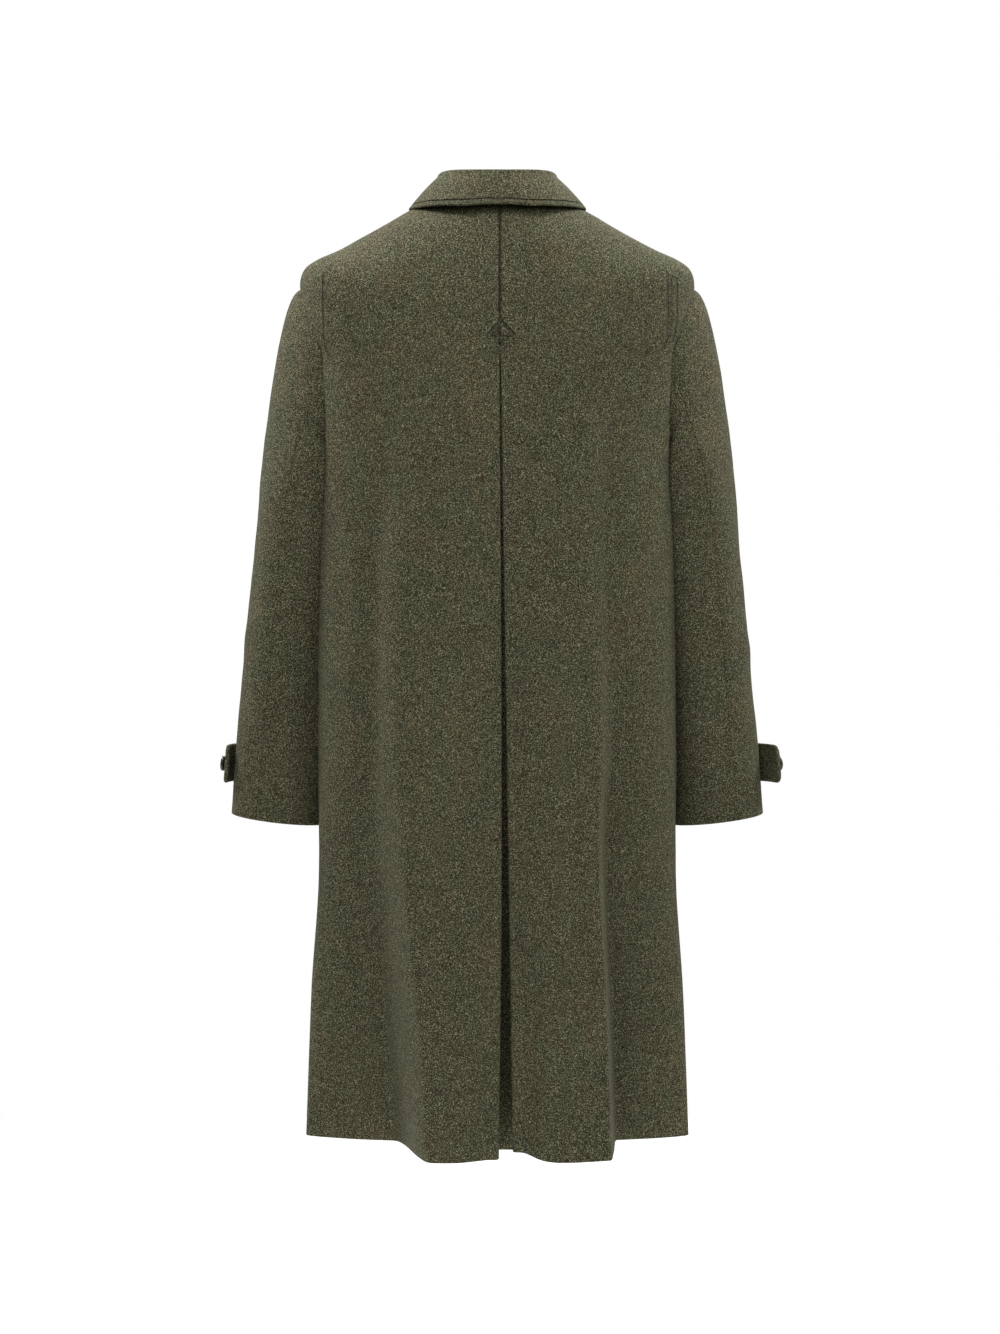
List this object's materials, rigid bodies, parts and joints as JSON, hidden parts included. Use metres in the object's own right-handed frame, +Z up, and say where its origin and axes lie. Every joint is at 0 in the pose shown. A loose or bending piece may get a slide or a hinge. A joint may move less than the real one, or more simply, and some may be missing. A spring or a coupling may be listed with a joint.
{
  "type": "loden coat",
  "caption": "Man's knee-length loden coat in green-brown melange wool, worn form, with an inverted centre back pleat, loose armhole edges, a turned-down collar and buttoned cuff tabs.",
  "frame": {"origin": "middle of the neck opening at the height of the neck seam over the shoulders, where the wearer's neck holds the coat", "axes": "+Z up towards the collar, -Y towards the front of the coat and +Y towards its back, +X towards the wearer's left sleeve"},
  "size_m": [0.6506, 0.302, 1.1063],
  "materials": {
    "loden": "fulled wool with a soft nap",
    "horn": "polished dark horn"
  },
  "bodies": {
    "root": {"back_left": "loden", "back_right": "loden", "pleat_underlay": "loden", "front_left": "loden", "front_right": "loden", "sleeve_top_left": "loden", "sleeve_under_left": "loden", "sleeve_top_right": "loden", "sleeve_under_right": "loden", "collar_stand": "loden", "collar_fall": "loden", "cuff_tab_left": "loden", "cuff_tab_right": "loden", "cuff_button_left": "horn", "cuff_button_right": "horn", "front_button_1": "horn", "front_button_2": "horn", "front_button_3": "horn", "front_button_4": "horn", "front_button_5": "horn"}
  },
  "joints": []
}
